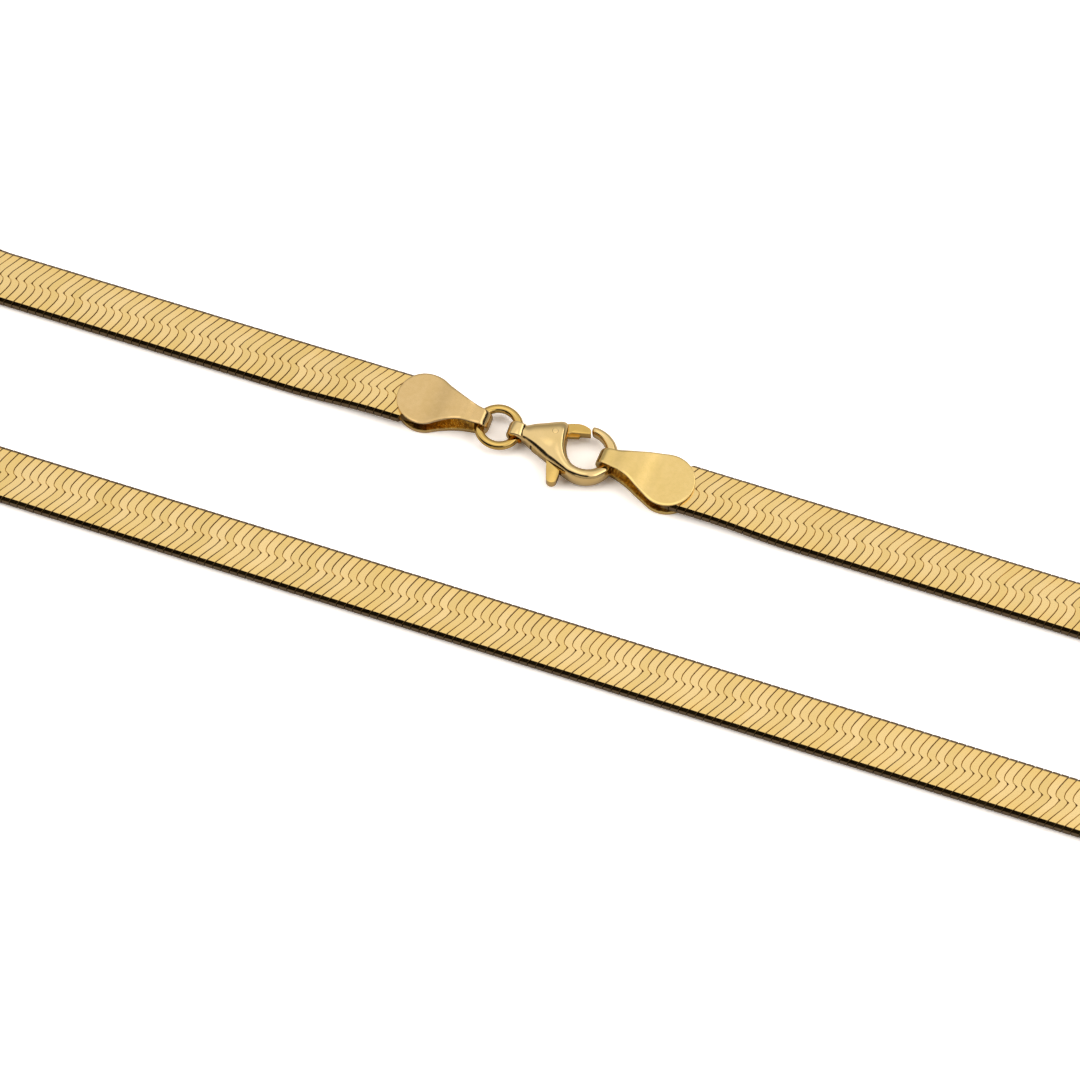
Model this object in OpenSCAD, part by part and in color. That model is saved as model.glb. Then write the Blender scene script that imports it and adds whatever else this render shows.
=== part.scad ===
// Flat herringbone necklace (a flat snake chain) closed by a lobster clasp, lying in a long loop.
// +X runs along the straight strands, +Y goes towards the strand with the clasp, +Z is up.
// z = 0 is the surface that it lies on, and the origin is the middle of the loop.

/* [Chain] */
// Length of the whole necklace along its middle line, clasp and tags included
necklace_len = 450; // [440:1:460]
// Width of the woven band
band_w = 5.6; // [5.4:0.1:5.7]
// Width of the band where it is pinched into the tags
end_w = 5.2; // [5:0.1:5.4]
// Thickness of the woven band
band_t = 1.36; // [1.3:0.02:1.4]
// Width of the bevel along each edge of the band
bevel_w = 0.32; // [0.2:0.02:0.4]
// Height of the bevel along each edge of the band
bevel_h = 0.36; // [0.3:0.02:0.4]
// Middle line of the strand that ends in the left tag
far_left_y = 10.6; // [10.5:0.05:10.7]
// Middle line of the strand that ends in the right tag
far_right_y = 10; // [9.9:0.05:10.1]
// Middle line of the strand with no clasp
near_y = -10.3; // [-10.5:0.05:-10.2]
// Radius of the band's middle line in every bend
bend_r = 17.75; // [17:0.25:18.5]
// Distance over which the band narrows and climbs from the surface into a tag
rise_len = 10; // [8:1:20]

/* [End tags] */
// Thickness of the tag's sheet
sheet_t = 0.42; // [0.36:0.02:0.42]
// Clearance between the band and each leaf of a tag
seat_gap = 0.02; // [0.01:0.01:0.03]
// Height of the fold over both leaves
fold_h = 2.6; // [2.56:0.02:2.7]
// Height of the crest, where the leaves bow furthest apart
crest_h = 3; // [2.9:0.05:3.1]
// Radius of the round head
head_r = 2.86; // [2.8:0.01:2.9]
// Width of the neck at the fold
neck_w = 1.66; // [1.6:0.02:1.68]
// Angle round the head at which the tapering sides run into it
taper_turn = 27; // [24:0.5:30]
// Distance from the fold to the start of the crest
crest_x = 2.6; // [2.4:0.1:2.8]
// Length of the crest
crest_len = 1.6; // [1.2:0.1:1.8]
// Distance from the fold to where the upper leaf turns level over the band
level_x = 7; // [6.8:0.1:7.2]
// Length of the left tag
tag_len_left = 9.95; // [9.9:0.05:10.05]
// Length of the right tag
tag_len_right = 10.35; // [10.3:0.05:10.4]
// Length of band held between the leaves
grip_len = 2.9; // [2.6:0.1:3]

/* [Jump ring] */
// Radius of the ring to the middle of its wire
ring_r = 2.06; // [2.05:0.005:2.07]
// Radius of the wire
wire_r = 0.45; // [0.43:0.005:0.46]

/* [Clasp] */
// Outer radius of the hook, seen from above
hook_outer_r = 3.23; // [3.2:0.01:3.26]
// Inner radius of the hook, seen from above
hook_inner_r = 2.05; // [2.03:0.01:2.06]
// Height of the cast body at its thickest place
body_h = 2.9; // [2.86:0.01:2.94]
// Outer radius of the eye that holds the jump ring
eye_outer_r = 1.05; // [1.03:0.01:1.07]
// Radius of the hole through the eye
eye_hole_r = 0.68; // [0.67:0.01:0.7]
// Length of the eye along its hole
eye_len = 1.58; // [1.5:0.02:1.6]
// Thickness of the lever that carries the gate and the thumb tab
lever_t = 1.05; // [1:0.01:1.08]
// Clearance above and below the lever in its slot
slot_gap = 0.075; // [0.06:0.005:0.09]
// Radius of the lever's pivot pin
pin_r = 0.3; // [0.28:0.01:0.32]
// Running clearance between the pin and the lever's bore
pin_gap = 0.04; // [0.03:0.01:0.05]

/* [Hidden] */

gold = "#d9b25f";
pale_gold = "#d8bd86";
bright_gold = "#e6c36a";

arc_fn = 180;
round_fn = 64;
// How far a cutting shape runs past what it cuts
far_past = 2;

// Places of the pieces along the strand with the clasp
left_fold = [-8.64, 10.5];
left_turn = 180 - 1.8;
right_fold = [2.77, 10.46];
right_turn = -4.5;
ring_at = [-7.77, 10.5];
clasp_y = 10.45;
eye_x = -5.75;

// The band: its lift inside a tag, and where each end and each climb lies
lift = sheet_t + seat_gap;
left_end_x = left_fold.x - tag_len_left + grip_len;
right_end_x = right_fold.x + tag_len_right - grip_len;
ledge = 1.2;
left_top_x = left_fold.x - tag_len_left - ledge;
right_top_x = right_fold.x + tag_len_right + ledge;

// The loop: each end swings out through a bend, round a bulb and back through a second bend
function middle_y(far_y) = (far_y + near_y) / 2;
function half_gap(far_y) = (far_y - near_y) / 2;
function bend_reach(far_y) = sqrt(pow(2 * bend_r, 2) - pow(half_gap(far_y) + bend_r, 2));
function bend_turn(far_y) = atan2(bend_reach(far_y), half_gap(far_y) + bend_r);
function end_len(far_y) = bend_r * (180 + 4 * bend_turn(far_y)) * PI / 180;
bulb_x = (necklace_len - end_len(far_left_y) - end_len(far_right_y)
          + 2 * bend_reach(far_left_y) + 2 * bend_reach(far_right_y)) / 4;
// Sections along each bend and round each bulb
bend_steps = 6;
bulb_steps = 42;

// Outline of the band across its width, with its middle line at x = 0 and its underside at y = 0
function band_outline(w) = [
    [-w / 2 + bevel_w, 0], [w / 2 - bevel_w, 0], [w / 2, bevel_h], [w / 2, band_t - bevel_h],
    [w / 2 - bevel_w, band_t], [-w / 2 + bevel_w, band_t], [-w / 2, band_t - bevel_h],
    [-w / 2, bevel_h]
];

// A closed solid through rings that all have the same number of points
module loft(rings) {
    side = len(rings[0]);
    last = len(rings) - 1;
    polyhedron(
        points = [for (ring = rings) each ring],
        faces = concat(
            [[for (k = [0:side - 1]) k]],
            [[for (k = [side - 1:-1:0]) last * side + k]],
            [for (r = [0:last - 1], k = [0:side - 1]) each [
                [r * side + k, (r + 1) * side + k, (r + 1) * side + (k + 1) % side],
                [r * side + k, (r + 1) * side + (k + 1) % side, r * side + (k + 1) % side]
            ]]
        ));
}

// Stations along the band: x, y, heading, height of the underside, width.
// An arc turns left round its centre where its sweep is positive, and right where it is negative.
function arc_stations(centre, heading, sweep, steps, first = 1) = [
    for (k = [first:steps])
        let (h = heading + sweep * k / steps, r = sign(sweep) * bend_r)
            [centre.x + r * sin(h), centre.y - r * cos(h), h, 0, band_w]
];

// One end of the loop, from one strand to the other, as the path arrives on a heading
function end_stations(side, arrive_y, leave_y, heading, far_y) =
    let (bend_x = side * (bulb_x - bend_reach(far_y)), turn = bend_turn(far_y))
        concat(
            arc_stations([bend_x, arrive_y + sign(arrive_y) * bend_r], heading, -turn,
                         bend_steps, 0),
            arc_stations([side * bulb_x, middle_y(far_y)], heading - turn, 180 + 2 * turn,
                         bulb_steps),
            arc_stations([bend_x, leave_y + sign(leave_y) * bend_r], heading + 180 + turn, -turn,
                         bend_steps));

chain_stations = concat(
    [[left_end_x, far_left_y, 180, lift, end_w], [left_top_x, far_left_y, 180, lift, end_w],
     [left_top_x - rise_len, far_left_y, 180, 0, band_w]],
    end_stations(-1, far_left_y, near_y, 180, far_left_y),
    end_stations(1, near_y, far_right_y, 0, far_right_y),
    [[right_top_x + rise_len, far_right_y, 180, 0, band_w],
     [right_top_x, far_right_y, 180, lift, end_w], [right_end_x, far_right_y, 180, lift, end_w]]
);

module herringbone_chain() {
    color(gold) loft([
        for (at = chain_stations)
            [for (p = band_outline(at[4]))
                [at.x - p.x * sin(at[2]), at.y + p.x * cos(at[2]), at[3] + p.y]]
    ]);
}

// Sides of the tag between the fold and the head
// distance from the fold, half width as a share of the neck's
tag_sides = [[0, 1], [0.5, 1.02], [1.4, 1.13], [2.7, 1.44], [3.9, 1.9]];

// A block of the flattened tag's outline: the sides widen to the round head and end inside it
module tag_blank(length, height) {
    head_x = length - head_r;
    inside = 0.98 * head_r;
    half_side = concat([for (row = tag_sides) [row[0], row[1] * neck_w / 2]],
                       [[head_x - inside * sin(taper_turn), inside * cos(taper_turn)]]);
    rows = len(half_side);
    linear_extrude(height = height)
        polygon(concat(half_side, [for (k = [rows - 1:-1:0]) [half_side[k].x, -half_side[k].y]]));
    translate([head_x, 0, 0]) cylinder(h = height, r = head_r, $fn = arc_fn);
}

// Side view of the folded sheet: a hairpin whose upper leaf bows up, then comes down on the band
module tag_profile(length) {
    fold_r = fold_h / 2;
    leaf_top = 2 * lift + band_t;
    crest_end = crest_x + crest_len;
    difference() {
        union() {
            translate([fold_r, fold_r]) circle(r = fold_r, $fn = round_fn);
            polygon([[fold_r, 0], [length, 0], [length, leaf_top], [level_x, leaf_top],
                     [crest_end, crest_h], [crest_x, crest_h], [fold_r, fold_h]]);
        }
        translate([fold_r, fold_r]) circle(r = fold_r - sheet_t, $fn = round_fn);
        polygon([[fold_r, sheet_t], [length + far_past, sheet_t],
                 [length + far_past, leaf_top - sheet_t], [level_x, leaf_top - sheet_t],
                 [crest_end, crest_h - sheet_t], [crest_x, crest_h - sheet_t],
                 [fold_r, fold_h - sheet_t]]);
    }
}

// A tag folded from sheet, with its fold at the origin and its leaves along +X
module end_tag(length) {
    intersection() {
        tag_blank(length, crest_h + far_past);
        translate([0, head_r + far_past, 0]) rotate([90, 0, 0])
            linear_extrude(height = 2 * (head_r + far_past)) tag_profile(length);
    }
}

module end_tag_left() {
    color(pale_gold) translate([left_fold.x, left_fold.y, 0]) rotate([0, 0, left_turn])
        end_tag(tag_len_left);
}

module end_tag_right() {
    color(bright_gold) translate([right_fold.x, right_fold.y, 0]) rotate([0, 0, right_turn])
        end_tag(tag_len_right);
}

// The soldered ring leans from the left tag's lower leaf up into the clasp's eye
module jump_ring() {
    rest_gap = 0.05;
    left_z = fold_h / 2 - 4 * rest_gap;
    right_z = body_h / 2 - 1.4 * rest_gap;
    color(gold) translate([ring_at.x, ring_at.y, (left_z + right_z) / 2])
        rotate([0, -asin((right_z - left_z) / (2 * ring_r)), 0])
            rotate_extrude($fn = arc_fn) translate([ring_r, 0]) circle(r = wire_r, $fn = round_fn);
}

// The clasp's cast body is lofted through ribs that run from its outer side to its inner side.
// Round the hook the ribs follow two circles, which lie a little apart, so the hook thickens.
hook_outer_at = [1.6, 10.27];
hook_inner_at = [1.47, 10.5];
hook_outer_turn = [99, -98];
hook_inner_turn = [91, -102];
hook_steps = 14;
// angle round the hook, height of the rib
hook_heights = [[-98, 2.42], [-70, 2.2], [-40, 1.75], [-22, 1.44], [0, 1.42], [99, 1.42]];
// angle round the hook, middle height of the rib
hook_middles = [[-98, 1.42], [-40, 1.3], [99, 1.3]];
// Ribs of the body, from the hook's root to the neck
// outer x, outer y, inner x, inner y, height as a share of the body's
body_ribs = [
    [0.50, 7.22, 0.58, 8.66, 0.86],
    [-0.05, 7.42, 0.15, 9.02, 0.90],
    [-0.60, 7.63, -0.25, 9.62, 0.93],
    [-1.10, 7.84, -0.55, 10.45, 0.96],
    [-1.55, 8.03, -0.75, 11.35, 0.985],
    [-1.95, 8.20, -0.90, 12.10, 1.00],
    [-2.15, 8.29, -1.06, 12.60, 1.00],
    [-2.40, 8.40, -1.55, 12.83, 1.00],
    [-2.75, 8.57, -2.20, 12.52, 0.985],
    [-3.25, 8.82, -3.00, 12.12, 0.95],
    [-3.80, 9.09, -3.80, 11.74, 0.89],
    [-4.40, 9.36, -4.40, 11.50, 0.82],
    [-5.00, 9.56, -5.00, 11.36, 0.76],
    [-5.45, 9.68, -5.45, 11.24, 0.72]
];
// How square the ribs are (2 is an ellipse), and the number of points round each
rib_squareness = 3.2;
rib_points = 20;

function turned(at, r, angle) = [at.x + r * cos(angle), at.y + r * sin(angle)];
function between(ends, share) = ends[0] + (ends[1] - ends[0]) * share;
function eased(v) = sign(v) * pow(abs(v), 2 / rib_squareness);
function rib(outer, inner, height, middle) = [
    for (k = [0:rib_points - 1])
        let (across = eased(cos(k * 360 / rib_points)), up = eased(sin(k * 360 / rib_points)),
             at = (outer + inner) / 2 + (outer - inner) / 2 * across)
            [at.x, at.y, middle + height / 2 * up]
];

// Outline of the lever: the gate, the arm along the throat and the thumb tab
pivot_at = [-2.0, 11.2];
boss_r = 0.78;
tab_tip_at = [-0.86, 6.56];
tab_tip_r = 0.56;
lever_outline = [
    [-2.50, 11.80], [-1.60, 12.56], [-0.90, 12.93], [-0.10, 13.17], [0.36, 13.19], [0.84, 13.04],
    [1.18, 12.86], [1.36, 12.43], [-0.42, 11.97], [-0.56, 11.80], [-0.58, 10.20], [-0.32, 8.30],
    [-0.29, 7.10], [-0.31, 6.56], [-1.41, 6.56], [-1.62, 7.10], [-1.85, 7.95], [-2.20, 9.00],
    [-2.74, 10.90]
];
// Outline of the slot between the cheeks, which leaves room for the lever's whole swing
slot_outline = [
    [-0.15, 6.00], [-0.15, 9.60], [0.30, 9.90], [0.30, 13.60], [-1.50, 13.60], [-1.72, 12.66],
    [-2.50, 12.14], [-2.98, 11.60], [-3.25, 10.50], [-3.60, 9.70], [-4.60, 9.60], [-4.60, 8.40],
    [-3.60, 6.00]
];
lever_z = body_h / 2 - 0.1 - lever_t / 2;

module clasp_body() {
    color(gold) difference() {
        union() {
            loft(concat(
                [for (k = [0:hook_steps])
                    let (turn = between(hook_outer_turn, k / hook_steps),
                         inner_turn = between(hook_inner_turn, k / hook_steps))
                        rib(turned(hook_outer_at, hook_outer_r, turn),
                            turned(hook_inner_at, hook_inner_r, inner_turn),
                            lookup(turn, hook_heights), lookup(turn, hook_middles))],
                [for (row = body_ribs)
                    rib([row[0], row[1]], [row[2], row[3]], row[4] * body_h, body_h / 2)]
            ));
            translate([eye_x, clasp_y + eye_len / 2, body_h / 2]) rotate([90, 0, 0])
                cylinder(h = eye_len, r = eye_outer_r, $fn = round_fn);
        }
        translate([eye_x, clasp_y + far_past, body_h / 2]) rotate([90, 0, 0])
            cylinder(h = 2 * far_past, r = eye_hole_r, $fn = round_fn);
        translate([0, 0, lever_z - slot_gap])
            linear_extrude(height = lever_t + 2 * slot_gap) polygon(slot_outline);
        translate([pivot_at.x, pivot_at.y, -far_past])
            cylinder(h = body_h + 2 * far_past, r = pin_r + seat_gap, $fn = round_fn);
    }
}

module clasp_lever() {
    color(bright_gold) difference() {
        union() {
            translate([0, 0, lever_z]) linear_extrude(height = lever_t) polygon(lever_outline);
            for (end = [[pivot_at, boss_r], [tab_tip_at, tab_tip_r]])
                translate([end[0].x, end[0].y, lever_z])
                    cylinder(h = lever_t, r = end[1], $fn = round_fn);
        }
        translate([pivot_at.x, pivot_at.y, lever_z - far_past])
            cylinder(h = lever_t + 2 * far_past, r = pin_r + pin_gap, $fn = round_fn);
    }
}

module lever_pin() {
    flush = 0.06;
    color(gold) translate([pivot_at.x, pivot_at.y, flush])
        cylinder(h = body_h - 2 * flush, r = pin_r, $fn = round_fn);
}

herringbone_chain();
end_tag_left();
end_tag_right();
jump_ring();
clasp_body();
clasp_lever();
lever_pin();
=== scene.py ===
# %% [markdown]
# # A flat herringbone necklace
#
# The necklace is a band of slanted gold rows, closed by a lobster clasp between two tags of folded
# sheet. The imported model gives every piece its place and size, so the first step is to load it. The
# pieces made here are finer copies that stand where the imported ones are.

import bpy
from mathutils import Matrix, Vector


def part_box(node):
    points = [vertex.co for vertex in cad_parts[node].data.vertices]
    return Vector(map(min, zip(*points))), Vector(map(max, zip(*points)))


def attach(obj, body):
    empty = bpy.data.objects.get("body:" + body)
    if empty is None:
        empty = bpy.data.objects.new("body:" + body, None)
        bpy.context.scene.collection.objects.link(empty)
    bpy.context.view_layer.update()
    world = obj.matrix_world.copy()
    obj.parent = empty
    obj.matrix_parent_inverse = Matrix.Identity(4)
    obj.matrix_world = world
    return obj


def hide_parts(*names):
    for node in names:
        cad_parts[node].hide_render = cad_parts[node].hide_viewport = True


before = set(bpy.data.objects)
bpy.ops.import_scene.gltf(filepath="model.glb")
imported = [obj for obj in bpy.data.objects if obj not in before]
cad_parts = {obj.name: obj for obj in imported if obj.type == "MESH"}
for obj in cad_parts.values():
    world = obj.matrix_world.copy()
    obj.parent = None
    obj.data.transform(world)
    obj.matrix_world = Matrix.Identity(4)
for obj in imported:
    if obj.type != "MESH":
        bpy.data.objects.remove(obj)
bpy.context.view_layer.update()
print("packed nodes:", ", ".join(sorted(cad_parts)))

# %% Units, and what the lesson needs
import math
import random

import bmesh
import bpy
from mathutils import Matrix, Vector
from mathutils.geometry import interpolate_bezier

MM = 0.001
scene = bpy.context.scene
print("one millimetre is", MM, "of a Blender unit")

# %% [markdown]
# ## The camera
#
# The photograph looks down steeply on the two straight strands, with a long lens that hardly
# narrows them. The camera stands at the same angle, 480 mm from the middle of the strands. A 160 mm
# lens then shows 108 mm of the necklace from side to side.

# %% Stand the camera
AZIMUTH, ELEVATION, DISTANCE = math.radians(18.70), math.radians(65), 480 * MM
LOOK_AT = Vector((0, 0.48, 0)) * MM

lens = bpy.data.cameras.new("camera")
lens.lens, lens.sensor_width = 160, 36
lens.clip_start, lens.clip_end = 10 * MM, 20
camera = bpy.data.objects.new("camera", lens)
scene.collection.objects.link(camera)
back = Vector((math.sin(AZIMUTH) * math.cos(ELEVATION),
               -math.cos(AZIMUTH) * math.cos(ELEVATION), math.sin(ELEVATION)))
camera.location = LOOK_AT + DISTANCE * back
camera.rotation_euler = (-back).to_track_quat("-Z", "Y").to_euler()
scene.camera = camera
print("camera at", [round(c / MM) for c in camera.location], "mm")

# %% [markdown]
# ## Shader recipes
#
# A finish is a small calculation that runs at each point of the surface. Sums on numbers are
# easiest to read as sums, so a field wraps a socket, and + - * on fields add the Math nodes. All
# other nodes come from one method that sets a node's options first and its sockets after.

# %% A field, and a recipe that adds nodes
class Field:
    """A value that varies over the surface: one output socket of a recipe's node."""

    def __init__(self, recipe, socket):
        self.recipe, self.socket = recipe, socket

    def _with(self, operation, first, second):
        return self.recipe.add("ShaderNodeMath", {"operation": operation}, {0: first, 1: second})

    def __add__(self, other): return self._with("ADD", self, other)
    def __radd__(self, other): return self._with("ADD", other, self)
    def __sub__(self, other): return self._with("SUBTRACT", self, other)
    def __rsub__(self, other): return self._with("SUBTRACT", other, self)
    def __mul__(self, other): return self._with("MULTIPLY", self, other)
    def __rmul__(self, other): return self._with("MULTIPLY", other, self)


class Recipe:
    """The nodes of a material or a world, and the one method that adds a node."""

    def __init__(self, wearer):
        wearer.use_nodes = True
        self.wearer, self.tree = wearer, wearer.node_tree
        self.tree.nodes.clear()

    def add(self, kind, settings=None, sockets=None, output=0):
        node = self.tree.nodes.new(kind)
        for key, value in (settings or {}).items():
            setattr(node, key, value)
        for key, value in (sockets or {}).items():
            if isinstance(value, Field):
                self.tree.links.new(value.socket, node.inputs[key])
            else:
                node.inputs[key].default_value = value
        return None if output is None else Field(self, node.outputs[output])

    def on_piece(self, scale=(1, 1, 1), turn=0.0):
        """The piece's own coordinates in millimetres, stretched and turned about Z."""
        place = self.add("ShaderNodeTexCoord", output="Object")
        return self.add("ShaderNodeMapping", None, {
            "Vector": place, "Rotation": (0, 0, math.radians(turn)),
            "Scale": tuple(1000 * s for s in scale)})

    def noise(self, vector, scale, detail=3.0, roughness=0.5):
        return self.add("ShaderNodeTexNoise", None, {
            "Vector": vector, "Scale": scale, "Detail": detail, "Roughness": roughness})

    def spread(self, field, low, high, to_low=0.0, to_high=1.0, how="LINEAR"):
        """The field with low..high stretched to to_low..to_high, held at both ends."""
        return self.add("ShaderNodeMapRange", {"clamp": True, "interpolation_type": how}, {
            "Value": field, "From Min": low, "From Max": high,
            "To Min": to_low, "To Max": to_high})

    def blend(self, factor, first, second):
        """The first colour where the factor is 0, the second where it is 1."""
        return self.add("ShaderNodeMix", {"data_type": "RGBA"}, {
            0: factor, 6: first, 7: second}, output=2)

    def surface(self, **sockets):
        """Joins the surface shader and the material's output. A constant goes on its own socket."""
        shader = self.add("ShaderNodeBsdfPrincipled", None,
                          {key.replace("_", " "): value for key, value in sockets.items()})
        self.add("ShaderNodeOutputMaterial", None, {"Surface": shader}, output=None)
        return self.wearer

    def surroundings(self, strength):
        """Joins a white background of a varying strength to the world's output."""
        light = self.add("ShaderNodeBackground", None, {
            "Color": (1, 1, 1, 1), "Strength": strength})
        self.add("ShaderNodeOutputWorld", None, {"Surface": light}, output=None)
        return self.wearer


print("a recipe is ready")

# %% [markdown]
# ## The table and the light
#
# Polished gold shows what stands round it. In the photograph its level faces mirror a wide bright
# ceiling, its bevels mirror a dark belt of the room and turn black, and its walls mirror the table.
# The eye sees a table burnt out to white, though gold mirrors it darker. Light Path tells the two
# apart: a ray from the camera finds a brighter table than a ray off the gold.

# %% A white table
PAPER_OFF_GOLD, PAPER_SEEN = (0.50, 0.46, 0.41, 1), (1.38, 1.30, 1.22, 1)


def white_table():
    sheet = bmesh.new()
    bmesh.ops.create_grid(sheet, x_segments=1, y_segments=1, size=3)
    mesh = bpy.data.meshes.new("table")
    sheet.to_mesh(mesh)
    sheet.free()
    recipe = Recipe(bpy.data.materials.new("white table"))
    seen = recipe.add("ShaderNodeLightPath", output="Is Camera Ray")
    paper = recipe.blend(seen, PAPER_OFF_GOLD, PAPER_SEEN)
    mesh.materials.append(recipe.surface(Base_Color=paper, Roughness=1.0, Specular_IOR_Level=0.0))
    table = bpy.data.objects.new("table", mesh)
    scene.collection.objects.link(table)
    return table


table = white_table()
print("table:", table.dimensions[0], "m wide")

# %% [markdown]
# The room is painted by direction. Each smooth step runs between two shares, and a share says how
# high a direction points, or how far it leans to one side. For a sum of two sides it goes past 1.
# On the camera's side the dark belt reaches up higher before the ceiling begins. Close to the floor
# the wall is lighter again, so that the gold keeps its colour from a low seat.

# %% The room and the lamps
CAMERA_RIGHT = Vector((math.cos(AZIMUTH), math.sin(AZIMUTH), 0))
FAR_SIDE = Vector((-math.sin(AZIMUTH), math.cos(AZIMUTH), 0))
TABLE_GETS, LOW_WALL, DARK_WALL = 0.20, 0.44, 0.02


def room():
    """Even for the table. Gold sees a ceiling, a dark belt, a low wall and a bright window."""
    recipe = Recipe(bpy.data.worlds.new("room"))
    off_gold = recipe.add("ShaderNodeLightPath", output="Is Glossy Ray")
    way = recipe.add("ShaderNodeTexCoord", output="Generated")
    height = recipe.add("ShaderNodeSeparateXYZ", None, {"Vector": way}, output="Z")

    def towards(direction, low, high):
        share = recipe.add("ShaderNodeVectorMath", {"operation": "DOT_PRODUCT"},
                           {0: way, 1: direction}, output="Value")
        return recipe.spread(share, low, high, how="SMOOTHSTEP")

    def above(low, high):
        return recipe.spread(height, low, high, how="SMOOTHSTEP")

    belt_starts = recipe.spread(height + 0.28 * towards(-CAMERA_RIGHT, 0.30, 0.55), 0.29, 0.34,
                                how="SMOOTHSTEP")
    not_far_left = 1 - towards(FAR_SIDE - 0.6 * CAMERA_RIGHT, 0.15, 0.6)
    less_near_right = 1 - 0.6 * towards(CAMERA_RIGHT - FAR_SIDE, 1.08, 1.20)
    belt = belt_starts * not_far_left * less_near_right
    wall = LOW_WALL - (LOW_WALL - DARK_WALL) * belt
    low_far = towards(FAR_SIDE, 0.42, 0.8) * (1 - above(0.42, 0.85))
    near = towards(-FAR_SIDE, 0.15, 0.6) * (1 - 0.8 * towards(CAMERA_RIGHT, 0.26, 0.40))
    right = towards(CAMERA_RIGHT, 0.6, 0.78)
    ceiling = recipe.spread(height - 0.38 * near - 0.25 * right, 0.34, 0.46, how="SMOOTHSTEP")
    window = 0.4 * towards(CAMERA_RIGHT, 0.35, 0.75) + 0.55 * towards(CAMERA_RIGHT, 0.50, 0.64)
    overhead = 0.17 * above(0.89, 1.0) + 0.28 * above(0.915, 0.985)
    lit = 1.0 + window + overhead - 0.48 * low_far
    gold_sees = wall + (lit - wall) * ceiling
    return recipe.surroundings(TABLE_GETS + (gold_sees - TABLE_GETS) * off_gold)


def lamp(name, azimuth, elevation, power, softness):
    """A far soft lamp that shades the table. Gold doesn't mirror it."""
    light = bpy.data.lights.new(name, "SUN")
    light.energy, light.angle = power, math.radians(softness)
    a, e = math.radians(azimuth), math.radians(elevation)
    towards = Vector((math.sin(a) * math.cos(e), math.cos(a) * math.cos(e), math.sin(e)))
    shown = bpy.data.objects.new(name, light)
    shown.location = towards
    shown.rotation_euler = towards.to_track_quat("Z", "Y").to_euler()
    shown.visible_glossy = False
    scene.collection.objects.link(shown)


scene.world = room()
lamp("top lamp", azimuth=-18.7, elevation=68, power=0.9, softness=40)
lamp("left lamp", azimuth=-108.7, elevation=42, power=1.9, softness=50)
lamp("right lamp", azimuth=71.3, elevation=42, power=1.9, softness=50)
scene.view_settings.view_transform = "Standard"

# %% [markdown]
# ## Gold finishes
#
# One alloy wears three finishes. The woven rows are rolled flat and bright, the tags are tumbled to
# a satin with fine pits, and the clasp and the ring are polished. Painted shade, in dark gold, lies
# in the grooves, on the rows' bevels and walls, and inside the tags' folds.
# The colour of a metal is its base colour, so the finishes differ in tint, in roughness and in the
# small marks that a bump carries.

# %% Tints and roughness
ROW_DEEP, ROW_PALE = (0.80, 0.56, 0.21, 1), (0.88, 0.635, 0.285, 1)
ROW_EDGE, ROW_BEVEL_SHADE = (0.83, 0.55, 0.17, 1), (0.17, 0.105, 0.04, 1)
GROOVE_SHADE_DEEP, GROOVE_SHADE_PALE = (0.16, 0.09, 0.02, 1), (0.26, 0.15, 0.04, 1)
LEFT_PALE, LEFT_DEEP = (0.745, 0.515, 0.235, 1), (0.68, 0.46, 0.19, 1)
RIGHT_PALE, RIGHT_DEEP = (0.86, 0.615, 0.24, 1), (0.79, 0.555, 0.195, 1)
PIT_BROWN = (0.45, 0.27, 0.09, 1)
INSIDE_SHADE_DEEP, INSIDE_SHADE_PALE = (0.42, 0.26, 0.06, 1), (0.88, 0.62, 0.17, 1)
CAST_DEEP, CAST_PALE = (0.79, 0.56, 0.235, 1), (0.85, 0.615, 0.285, 1)
POLISH_DEEP, POLISH_PALE = (0.64, 0.415, 0.115, 1), (0.70, 0.465, 0.145, 1)
WOVEN_ROUGH, GROOVE_ROUGH, SATIN_ROUGH, POLISHED_ROUGH = 0.17, 0.45, 0.15, 0.10
MARK_DEPTH, RIPPLE_DEPTH = 0.02 * MM, 0.05 * MM
print("the rows' tint runs from", ROW_DEEP[:3], "to", ROW_PALE[:3])

# %% Woven gold
def woven_gold():
    recipe = Recipe(bpy.data.materials.new("woven gold"))
    tone = recipe.add("ShaderNodeAttribute", {"attribute_name": "row_tone"}, output="Fac")
    across = recipe.add("ShaderNodeAttribute", {"attribute_name": "across"}, output="Fac")
    place = recipe.on_piece()
    cloud = recipe.noise(place, 0.55, 2)
    speck = recipe.noise(place, 9, 3)
    colour = recipe.blend(recipe.spread(tone + 0.5 * (cloud - 0.5), 0, 1), ROW_DEEP, ROW_PALE)
    edge = recipe.spread(across, 0.45, 0.88, 0, 0.55)
    colour = recipe.blend(edge, colour, ROW_EDGE)
    # Painted shade: the bevels and walls at the rows' ends turn dark brown, standing in for the
    # shadowed table that they mirror.
    colour = recipe.blend(recipe.spread(across, 0.873, 0.90), colour, ROW_BEVEL_SHADE)
    rough = WOVEN_ROUGH + 0.06 * tone + 0.05 * speck
    grain = recipe.add("ShaderNodeBump", None, {
        "Strength": 0.16, "Distance": MARK_DEPTH, "Height": 0.7 * speck + 0.3 * cloud})
    return recipe.surface(Base_Color=colour, Metallic=1.0, Roughness=rough, Normal=grain)


# %% Painted shade between the rows, in dark gold
def groove_shade_gold():
    recipe = Recipe(bpy.data.materials.new("groove shade gold"))
    cloud = recipe.noise(recipe.on_piece(), 1.4, 3)
    # The dark gold is painted shade: the hidden loops stand deep in the grooves' shade.
    colour = recipe.blend(cloud, GROOVE_SHADE_DEEP, GROOVE_SHADE_PALE)
    return recipe.surface(Base_Color=colour, Metallic=1.0, Roughness=GROOVE_ROUGH + 0.1 * cloud)


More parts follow.
